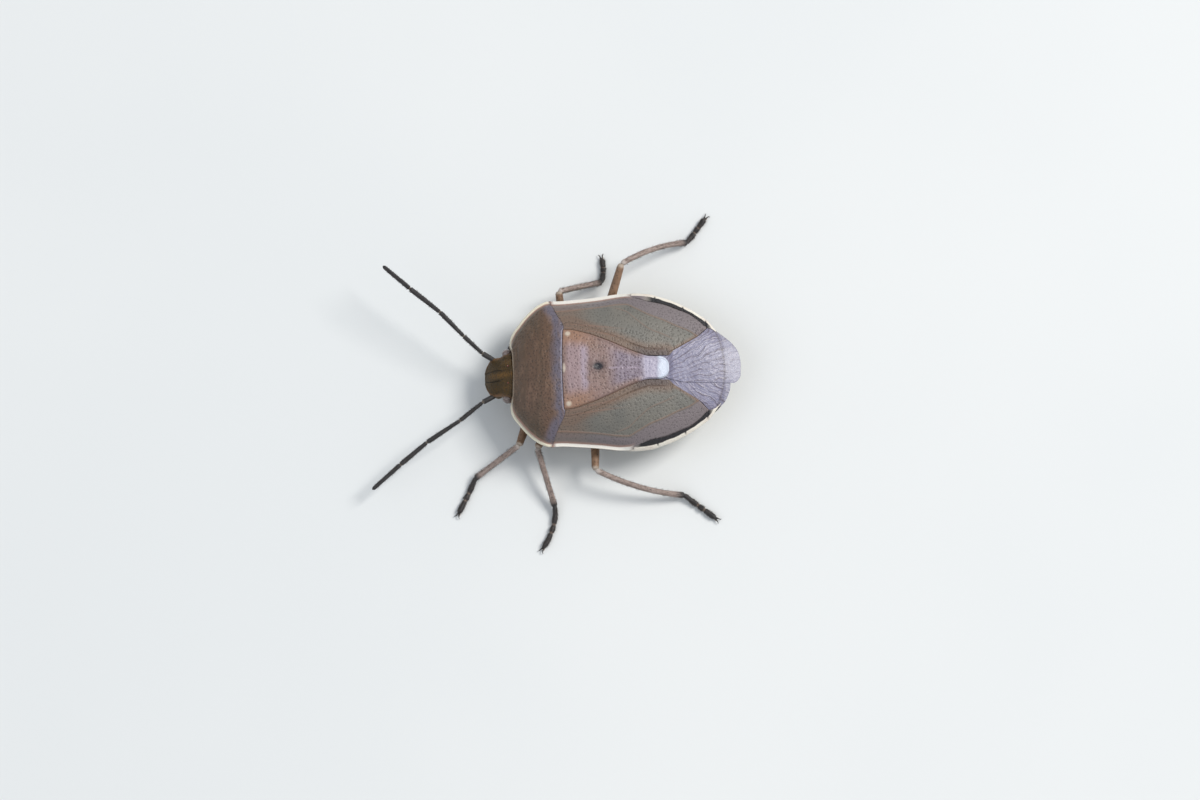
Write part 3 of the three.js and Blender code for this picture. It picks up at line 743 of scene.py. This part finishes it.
scutellum_paint.layers(
    cloud=(0.23, 0.15, 0.125, 0.9),
    # The front part's own pinkish tan, with a lilac tint added as a painted reflection of the sky.
    base=(0.35, 0.25, 0.26, 0.85),
    # A painted highlight: the sky's pale lilac reflection on the raised base.
    sheen=(0.44, 0.37, 0.46, 0.5),
    orange=(0.33, 0.18, 0.11, 0.75),
    grey=(0.2, 0.165, 0.22, 0.8),
    keel=(0.38, 0.3, 0.37, 0.6),
    pit=(0.06, 0.038, 0.032, 0.6),
    half_white=(0.43, 0.4, 0.5, 0.85),
    spot=(0.68, 0.6, 0.48, 1),
    dimple=(0.02, 0.018, 0.024, 1),
    white=(0.62, 0.66, 0.76, 1),
)
scutellum_paint.roughen(0.05, 0.006)
scutellum = plate(
    "scutellum_shield", x, s, top, low, scutellum_paint,
    pit=pit,
    cloud=drift(x, s, 0.5, 49),
    orange=rise(q, 0.45, 0.8) * fall(s, 4.6, 6.0),
    grey=rise(s, 5.9, 6.8) * fall(q, 0.55, 0.95),
    # The front part: its own paler tan, with a painted lilac sky reflection in its colour.
    base=(rise(s, 4.0, 4.3) - rise(s + 0.3 * drift(x, s, 0.4, 44), 5.0, 5.4)) * fall(q, 0.6, 0.9),
    # Where the painted sky highlight lies across the scutellum's raised base.
    sheen=band(s + 0.12 * drift(x, s, 0.25, 46), 5.05, 0.3) * fall(q, 0.5, 0.8),
    keel=band(x, 0.04, 0.09) * rise(s, 6.0, 6.4) * fall(s, 7.4, 7.8),
    half_white=half_white,
    white=white,
    spot=np.clip(spot, 0, 1),
    dimple=np.clip(dimple + 0.45 * np.exp(-dimple_reach / 4), 0, 1),
)
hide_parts("scutellum")

# The coria are the leathery front parts of the wings, folded flat on each side of the
# scutellum: grey-olive and pitted, with raised red-brown veins and a white outer edge.
CORIUM_START, CORIUM_OUTER_START, CORIUM_INNER = (2.0, 3.92), 3.2, 0.6
MEMBRANE_SIDE = 2.04
corium_edge = along(
    (3.2, 3.6), (3.7, 3.58), (4.68, 3.64), (5.66, 3.73), (6.63, 3.85), (7, 3.86), (7.4, 3.7),
    (8.08, 3.43), (8.8, 3.26), (9.54, 2.97), (10.02, 2.77), (10.5, 2.43), (10.95, 2.04))
wing_suture = along(
    (0, 9.12), (0.55, 9.05), (0.72, 9.1), (1, 9.54), (1.38, 10.17), (1.6, 10.5), (2.04, 10.95))


def bow(u, v, inner_end, outer_end):
    """The grid of a wing plate, for one side: rows run from the pronotum's hind edge back to
    the suture, and columns from the scutellum out to the side edge."""
    inner_s = CORIUM_START[1] + (inner_end - CORIUM_START[1]) * v
    outer_s = CORIUM_OUTER_START + (outer_end - CORIUM_OUTER_START) * v
    inner_x = np.maximum(scutellum_edge(inner_s) - 0.05, CORIUM_INNER)
    x = inner_x + (corium_edge(outer_s) - inner_x) * u
    s = inner_s + (outer_s - inner_s) * u
    return x, s + (wing_suture(x) - s) * v ** 8 * 4 * u * (1 - u)


corium_paint = Paint("corium_paint", (0.18, 0.165, 0.14), 0.4)
corium_paint.layers(
    cloud=(0.135, 0.132, 0.118, 0.8),
    brown=(0.185, 0.12, 0.085, 0.85),
    outer=(0.19, 0.155, 0.165, 0.8),
    # Painted shade: the coria are darkened beside the raised scutellum's hind sides.
    seam=(0.06, 0.042, 0.042, 0.75),
    vein=(0.25, 0.145, 0.105, 0.7),
    pit=(0.05, 0.042, 0.036, 0.5),
    pink=(0.36, 0.22, 0.18, 0.9),
    white=(0.78, 0.75, 0.68, 1),
    inside=(0.2, 0.16, 0.1, 1),
)
corium_paint.roughen(0.05, 0.006)
for number, (name, side) in enumerate(SIDES.items()):
    u, v = grid(38, 76)
    x, s = bow(u, v, float(wing_suture(CORIUM_INNER)) - 0.02, float(wing_suture(MEMBRANE_SIDE)))
    outer_gap = (1 - u) * (corium_edge(s) - np.maximum(scutellum_edge(s), CORIUM_INNER))
    inner_gap = x - np.maximum(scutellum_edge(np.minimum(s, 8.8)), 0.56)
    inner_gap += rise(s, 9.0, 9.6) * 0.4
    front_gap = s - pronotum_back(x)
    suture_gap = (wing_suture(x) - s) * 0.62
    side_gap = corium_edge(s) - x
    vein_line = corium_edge(s) - 0.62 - 0.3 * rise(s, 7, 9.5)
    vein = band(x, vein_line, 0.07)
    second = band(x, vein_line - 0.75 * rise(s, 5.6, 8.4), 0.06)
    second *= rise(s, 6.0, 7.0) * fall(s, 8.9, 9.5)
    furrow = band(inner_gap, 0.36, 0.05) * fall(s, 8.6, 9.0)
    fan = (x - 1.9 + 0.33 * (s - 4)) / (0.25 + 0.16 * (s - 3.9))
    streaks = sum(band(fan, lane, 0.13) for lane in (0.2, 0.75, 1.35)) * fall(s, 5.6, 7.4)
    white = rise(0.17 - side_gap, 0, 0.035)
    white *= fall(s, 6.95, 7.3) * rise(s, 3.3, 3.5)
    pit = pits(*arcs(x * side, s, back(x, s)), spacing=0.15, radius=0.052, seed=51 + 10 * number)
    pit *= 1 - 0.8 * np.clip(vein + second + white, 0, 1)
    flat = fall(side_gap, 0.1, 0.4) * fall(s, 6.4, 7.2)
    top = back(x, s) - (back(x, s) - rim(s) - RIM_HALF) * flat
    top += 0.03 * vein + 0.02 * second - 0.03 * furrow + 0.02 * white - 0.024 * pit
    top -= 0.06 * fall(inner_gap, -0.02, 0.05) + 0.05 * fall(suture_gap, 0, 0.06)
    top -= 0.05 * fall(outer_gap, 0, 0.06) * rise(s, 6.9, 7.4)
    top -= 0.07 * fall(front_gap, -0.03, 0.03)
    low = np.minimum(np.maximum(back(x, s) - SHELL, underside(x, s)), top - 0.02)
    corium = plate(
        f"corium_{name}", side * x, s, top, low, corium_paint,
        pit=pit,
        cloud=drift(x * side, s, 0.6, 55 + number),
        vein=np.clip(0.8 * vein + 0.6 * second + 0.7 * streaks, 0, 1),
        brown=np.clip(rise(0.85 - inner_gap, 0, 0.5) + rise(0.25 - suture_gap, 0, 0.2)
                      + fall(s, 4.2, 5.6) * 0.8, 0, 1),
        outer=rise(x - vein_line, 0, 0.12) * (0.5 + 0.5 * rise(s, 4.4, 6.2)),
        # Where the painted shade lies, next to the scutellum's hind sides; on the belly the same mask is
        # its ring joints.
        seam=fall(inner_gap, 0.15, 0.55) * rise(s, 6.9, 7.9) * fall(s, 8.9, 9.4),
        pink=rise(0.27 - side_gap, 0, 0.08) * fall(s, 6.9, 7.4),
        white=white,
    )
    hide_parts(f"wing_{name}_corium")

# The membranes are the thin smoky ends of the wings, folded over each other with the right
# one on top, with raised darker veins that run back side by side, fork and fade.
MEMBRANE_LIFT = {"left": 0.0, "right": 0.05}
upper_back = along(
    (-2.04, 11.1), (-1.65, 11.65), (-1.25, 12.1), (-0.8, 12.4), (-0.2, 12.5), (0.3, 12.48),
    (0.62, 12.3), (0.8, 11.9))
lower_back = along((0.2, 12.05), (0.6, 12), (1, 11.95), (1.4, 11.8), (1.65, 11.65), (2.04, 11.1))
overlap = along((0, 0.3), (0.3, 0.7), (1, 0.7))


def veins(x, s, side):
    """The membrane's veins: ten lines that fan out from the wing's root, waver and fork, as
    soft stripes of the fan's angle."""
    fan = np.arctan2(side * x + 0.9, s - 7.6) * 3.4
    waver = 0.22 * (drift(x, s, 0.55, 71) - 0.5) + 0.1 * (drift(x, s, 0.22, 73) - 0.5)
    lines = np.abs(np.sin(2 * np.pi * (fan + waver) * 1.7))
    forks = np.abs(np.sin(2 * np.pi * (fan * 2 + waver * 1.5 + 0.2) * 1.7))
    broken = 0.55 + 0.45 * rise(drift(x * 1.4, s, 0.3, 79), 0.25, 0.6)
    forks = 0.8 * fall(forks, 0.05, 0.4) * rise(s, 9.7, 10.3)
    return broken * np.maximum(fall(lines, 0.05, 0.4), forks)


# The bluish-lilac colours are the membrane's own smoky tint with a painted reflection of the pale sky
# laid in.
membrane_paint = Paint("membrane_paint", (0.31, 0.3, 0.41), 0.34, Coat_Weight=0.25, Coat_Roughness=0.25)
membrane_paint.layers(cloud=(0.22, 0.205, 0.3, 0.8))
membrane_paint.coat(membrane_paint.grain(0.13, 0.5, 0.68), (0.44, 0.39, 0.48), 0.5)
membrane_paint.layers(vein=(0.09, 0.06, 0.07, 0.7), lobe_line=(0.1, 0.08, 0.09, 0.6))
membrane_paint.bump(membrane_paint.grain(0.09, stretch=(1, 2.5, 1)), 0.01)
COVER, CLEAR_SHARE = 0.8, 0.55
clear = membrane_paint.sum("MULTIPLY", membrane_paint.mask("clear"), CLEAR_SHARE)
cover = membrane_paint.sum("SUBTRACT", COVER, clear)
veined = membrane_paint.sum("MULTIPLY", membrane_paint.mask("vein"), COVER)
cover = membrane_paint.sum("MAXIMUM", cover, veined)
membrane_paint.links.new(cover, membrane_paint.shader["Alpha"])
for name, side in SIDES.items():
    u, v = grid(30, 36)
    inner = overlap(v) if side < 0 else overlap(v) - 0.12
    x = inner + (side * MEMBRANE_SIDE - inner) * u
    back_line = lower_back(x) if side > 0 else upper_back(x)
    front = wing_suture(np.abs(x)) + 0.01 - 0.55 * fall(np.abs(x), 0.5, 0.85)
    s = front + (back_line - front) * v
    vein = veins(x, s, side)
    top = back(x, s) - 0.1 + MEMBRANE_LIFT[name] + 0.009 * vein + 0.006 * (drift(x, s, 0.12, 75) - 0.5)
    top -= 0.04 * fall(s, 9.05, 9.25)
    lobe = s + 0.12 * x * x
    membrane = plate(
        f"membrane_{name}", x, s, top, top - 0.035, membrane_paint,
        vein=vein * (1 - 0.4 * rise(s, 11.6, 12.2)),
        cloud=drift(x, s, 0.35, 77),
        clear=rise(lobe, 11.65, 11.85),
        lobe_line=band(lobe, 11.72, 0.09),
    )
    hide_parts(f"wing_{name}_membrane")

# The connexivum is the abdomen's flat side rim, which shows past the wings: ivory outside
# with a black band inside, which starts farther back on the right, and a black mark at
# each ring joint.
EDGE_START, EDGE_END, RING_JOINTS = 6.85, 11.5, (7.2, 8.4, 9.75, 10.85)
BLACK_START = {"left": (7.1, 7.6), "right": (7.7, 8.3)}
connexivum_paint = Paint("connexivum_paint", (0.8, 0.76, 0.66), 0.4)
connexivum_paint.layers(
    pink=(0.7, 0.58, 0.5, 0.6),
    brown=(0.19, 0.155, 0.165, 1),
    black=(0.014, 0.012, 0.014, 1),
)
connexivum_paint.roughen(0.06, 0.008)
for name, side in SIDES.items():
    u, v = grid(8, 60)
    s = EDGE_START + (EDGE_END - EDGE_START) * v
    inner = np.minimum(abdomen_shelf(s) - 0.08, body_edge(s) - 0.14)
    outer = body_edge(s) - 0.01 * fall(s, 6.9, 7.2)
    outer = inner + (outer - inner) * (1 - 0.85 * rise(s, 10.9, 11.5))
    x = inner + (outer - inner) * u
    outwards = (1 - u) * (outer - inner) * 0.85
    notch = sum(band(s, joint, 0.07) for joint in RING_JOINTS)
    inside = rise(outwards + 0.03 * drift(x, s, 0.2, 81), 0.125, 0.155) * fall(s, 10.9, 11.3)
    starts = rise(s, *BLACK_START[name])
    top = back(x, s) - 0.015 * pits(x, s, spacing=0.12, radius=0.045, seed=83) - 0.03 * notch
    top += 0.02 * band(outwards, 0.08, 0.09)
    top -= 0.15 * fall(s, 6.95, 7.3) + 0.1 * rise(s, 11.1, 11.5)
    low = np.minimum(np.maximum(underside(x, s), back(x, s) - 0.17), top - 0.03)
    strip = plate(
        f"abdomen_edge_{name}", side * x, s, top, low, connexivum_paint,
        black=np.clip(inside * starts + 0.9 * notch * rise(outwards, 0.02, 0.1), 0, 1),
        brown=inside * (1 - starts),
        pink=drift(x, s, 0.4, 85),
    )
    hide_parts(f"connexivum_{name}")

# Each leg is a stout speckled femur on a short hip joint, a slim channelled tibia and a
# black foot of three joints that ends in two hooked claws with a soft pad under each.
LEGS = {
    "left_front": ((1, 2.35, 0.75), (3.3, 1.6, 1.3), (4.69, -0.62, 0.3), (6.38, -1.48, 0.2),
                   (0, 0, 0.05), (0, 0, 0)),
    "left_middle": ((1.1, 3.95, 0.7), (3.45, 2.48, 1.3), (6.2, 3.22, 0.3), (8.22, 2.6, 0.2),
                    (0, 0, 0.05), (0, 0.2, 0)),
    "left_hind": ((1.1, 5.3, 0.65), (4.64, 5.3, 1.5), (5.83, 9.55, 0.3), (6.99, 11.05, 0.2),
                  (0.25, 0, 0.1), (0, 0, 0)),
    "right_front": ((-1, 2.35, 0.75), (-3.05, 2.5, 1.15), (-1.6, 1.15, 0.3), (-0.6, 0.4, 0.2),
                    (0, 0, 0), (0, 0, 0)),
    "right_middle": ((-1.1, 3.95, 0.7), (-4.18, 3.7, 1.7), (-4.85, 5.7, 0.3), (-6.05, 5.75, 0.2),
                     (0, 0, 0.05), (0, 0.08, 0)),
    "right_hind": ((-1.1, 5.3, 0.65), (-5.4, 6.8, 2), (-6.7, 9.95, 0.3), (-7.9, 10.85, 0.2),
                   (-0.2, 0, 0.1), (0, 0, 0)),
}
TOE_HEIGHT = 0.14
LEG_STEPS, FOOT_STEPS, CLAW_STEPS = 90, 120, 24


def arc(start, end, rise_by, count):
    """Points on a parabola from start to end, which stands off the straight line by rise_by
    in the middle."""
    t = np.linspace(0, 1, count)[:, None]
    return np.array(start) * (1 - t) + np.array(end) * t + 4 * t * (1 - t) * np.array(rise_by)


tibia_paint = Paint("tibia_paint", (0.27, 0.2, 0.17), 0.4)
tibia_paint.clouds(0.3, (0.36, 0.28, 0.245), 0.8)
tibia_paint.speckles(0.11, (0.06, 0.04, 0.03), 0.7)
tibia_paint.layers(dark=(0.016, 0.014, 0.014, 1), pale=(0.6, 0.55, 0.5, 0.8))
tibia_paint.roughen(0.05, 0.008)
foot_paint = Paint("foot_paint", (0.016, 0.014, 0.014), 0.42)
foot_paint.clouds(0.15, (0.035, 0.028, 0.025))
foot_paint.layers(pale=(0.3, 0.22, 0.17, 0.6))
foot_paint.roughen(0.04, 0.008)
leg_limbs, foot_limbs = [], []
COXA, COXA_RISE = (0.3, 0.36, 0.3), np.array([0, 0, 0.12])
coxa_paint = Paint("coxa_paint", (0.23, 0.15, 0.08), 0.4)
coxa_paint.clouds(0.2, (0.16, 0.1, 0.055))
coxa_paint.speckles(0.13, (0.05, 0.035, 0.02), 0.7)
coxa_paint.roughen(0.05, 0.008)
CLAW_RADIUS, CLAW_LENGTH = 0.038, 0.26
PAD_HEIGHT, PAD_REACH = 0.07, (0.045, 0.045, 0.035)
pad_paint = Paint("pad_paint", (0.3, 0.22, 0.15), 0.5)
pad_paint.clouds(0.05, (0.2, 0.14, 0.1))
for name, (hip, knee, ankle, toe, tibia_bow, foot_bow) in LEGS.items():
    share = np.linspace(0, 1, LEG_STEPS)
    hip, knee, ankle, toe = (np.array(joint, float) for joint in (hip, knee, ankle, toe))
    coxa = dome(f"coxa_{name}", hip + COXA_RISE, COXA, coxa_paint, 32, 20)
    femur_radius = 0.17 + 0.045 * band(share, 0.6, 0.5) + 0.02 * fall(share, 0.02, 0.16)
    femur_radius -= 0.05 * band(share, 0.17, 0.05)
    femur_radius *= np.clip((1.02 - share) / 0.05, 0.1, 1) ** 0.5
    # The pale end of the femur at the knee is a painted highlight.
    femur = tube(f"femur_{name}", arc(hip, knee, (0, 0, 0), LEG_STEPS), femur_radius, limb_paint, 24,
                 dark=0.5 * fall(share, 0.05, 0.2), pale=rise(share, 0.95, 0.985) * 0.8)
    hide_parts(f"leg_{name}_femur")

    tibia_path = arc(knee, ankle, tibia_bow, LEG_STEPS)
    tibia_radius = 0.135 + 0.02 * rise(share, 0.75, 1) + 0.02 * fall(share, 0, 0.08)
    tibia_radius *= np.clip(share / 0.03, 0.2, 1) ** 0.5 * np.clip((1.005 - share) / 0.02, 0.3, 1) ** 0.5
    # The pale root of the tibia at the knee is a painted highlight.
    tibia = tube(f"tibia_{name}", tibia_path, tibia_radius, tibia_paint, 24, flat=0.18,
                 dark=rise(share, 0.86, 0.99), pale=fall(share, 0.02, 0.07) * 0.7)
    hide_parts(f"leg_{name}_tibia")
    leg_limbs.append((tibia_path, tibia_radius))

    toe[2] = TOE_HEIGHT
    foot_path = arc(ankle, toe, foot_bow, FOOT_STEPS)
    share = np.linspace(0, 1, FOOT_STEPS)
    foot_path[:, 2] = TOE_HEIGHT + (ankle[2] - TOE_HEIGHT) * fall(share, 0, 0.3)
    foot_radius = (0.115 + 0.02 * band(share, 0.3, 0.14) + 0.02 * band(share, 0.56, 0.1)
                   + 0.02 * band(share, 0.85, 0.2))
    necks = band(share, 0.43, 0.04) + band(share, 0.63, 0.04)
    foot_radius = (foot_radius - 0.035 * necks) * np.clip((1.03 - share) / 0.1, 0.2, 1) ** 0.5
    foot = tube(f"foot_{name}", foot_path, foot_radius, foot_paint, 20, pale=necks)
    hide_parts(f"leg_{name}_tarsus")
    foot_limbs.append((foot_path, foot_radius))

    ahead = (foot_path[-1] - foot_path[-8]) * (1, 1, 0)
    ahead /= np.linalg.norm(ahead)
    aside = np.array([-ahead[1], ahead[0], 0])
    for hand, spread in (("a", 1), ("b", -1)):
        t = np.linspace(0, 1, CLAW_STEPS)
        reach = CLAW_LENGTH * np.sin(t * 1.9)
        claw_path = foot_path[-3] + np.outer(reach, ahead) + np.outer(0.02 + 0.13 * t, aside) * spread
        claw_path[:, 2] = TOE_HEIGHT + 0.03 * np.sin(t * 3.1) - 0.1 * t ** 2
        claw = tube(f"claw_{name}_{hand}", claw_path, CLAW_RADIUS * (1 - 0.85 * t), foot_paint, 12,
                    pale=t * 0)
        at = foot_path[-3] + 0.07 * ahead + 0.055 * spread * aside
        pad = dome(f"pad_{name}_{hand}", (at[0], at[1], PAD_HEIGHT), PAD_REACH, pad_paint, 16, 10)

# Short stiff bristles of dark horn clothe the feelers, shins and feet. Each grows from its
# own socket and leans towards the limb's tip.
BRISTLE_ROOT = 0.008
BAKE_PATCH = 0.003
FLOOR_CLEARANCE = 0.01
bristle_paint = Paint("bristle_paint", (0.07, 0.05, 0.04), 0.5)
bristle_paint.clouds(0.5, (0.03, 0.022, 0.02))


def bristles(name, limbs, count, length):
    """Closed three-sided spines in one mesh, each bent towards its limb's tip. The map OFBake
    gives each spine a patch at its root, on an unwrap with one strip per limb: the limb's
    length one way and its girth the other."""
    spines, maps = [], []
    corner = np.array([0, 1, 2]) * 2 * np.pi / 3
    rings = np.stack([np.cos(corner), np.sin(corner)], axis=1)
    footprint = BAKE_PATCH / 2 * np.concatenate([rings, rings * 0.6, [[0, 0]]])
    for number, (path, radius) in enumerate(limbs):
        tangents, across, upwards = frames(path)
        k = np.arange(count)
        share, girth = 0.04 + 0.93 * scatter(k, 3, 91 + number), scatter(k, 7, 95 + number)
        at = (share * (len(path) - 1)).astype(int)
        angle = 2 * np.pi * girth[:, None]
        out, ahead = across[at] * np.cos(angle) + upwards[at] * np.sin(angle), tangents[at]
        beside = np.cross(out, ahead)
        root = path[at] + out * radius[at, None] * 0.94
        reach = length * (0.7 + 0.6 * scatter(k, 11, 97 + number))[:, None]
        middle = root + (0.75 * out + 0.45 * ahead) * reach * 0.55
        tip = root + (0.85 * out + 0.85 * ahead) * reach * 0.85
        ring = [np.cos(a) * ahead + np.sin(a) * beside for a in corner]
        foot = [root + BRISTLE_ROOT * r for r in ring]
        waist = [middle + BRISTLE_ROOT * 0.6 * r for r in ring]
        spines.append(np.stack([*foot, *waist, tip], axis=1))
        where = np.stack([share, (number + 0.05 + 0.9 * girth) / len(limbs)], axis=1)
        maps.append(where[:, None, :] + footprint)
    spines, maps = np.concatenate(spines), np.concatenate(maps)
    spines[..., 2] = np.maximum(spines[..., 2], FLOOR_CLEARANCE)
    first = np.arange(len(spines))[:, None, None] * 7
    sides = np.array([[0, 1, 4, 3], [1, 2, 5, 4], [2, 0, 3, 5]])
    ends = np.array([[3, 4, 6], [4, 5, 6], [5, 3, 6], [0, 2, 1]])
    faces = [(first + sides).reshape(-1, 4), (first + ends).reshape(-1, 3)]
    coat = mesh_piece(name, place(*spines.reshape(-1, 3).T), faces, {}, bristle_paint)
    corners = np.zeros(len(coat.data.loops), np.int32)
    coat.data.loops.foreach_get("vertex_index", corners)
    bake = coat.data.uv_layers.new(name="OFBake")
    bake.data.foreach_set("uv", maps.reshape(-1, 2)[corners].astype(np.float32).ravel())


bristles("bristles_feelers", feeler_limbs, count=1100, length=0.08)
bristles("bristles_shins", leg_limbs, count=420, length=0.11)
bristles("bristles_feet", foot_limbs, count=420, length=0.09)
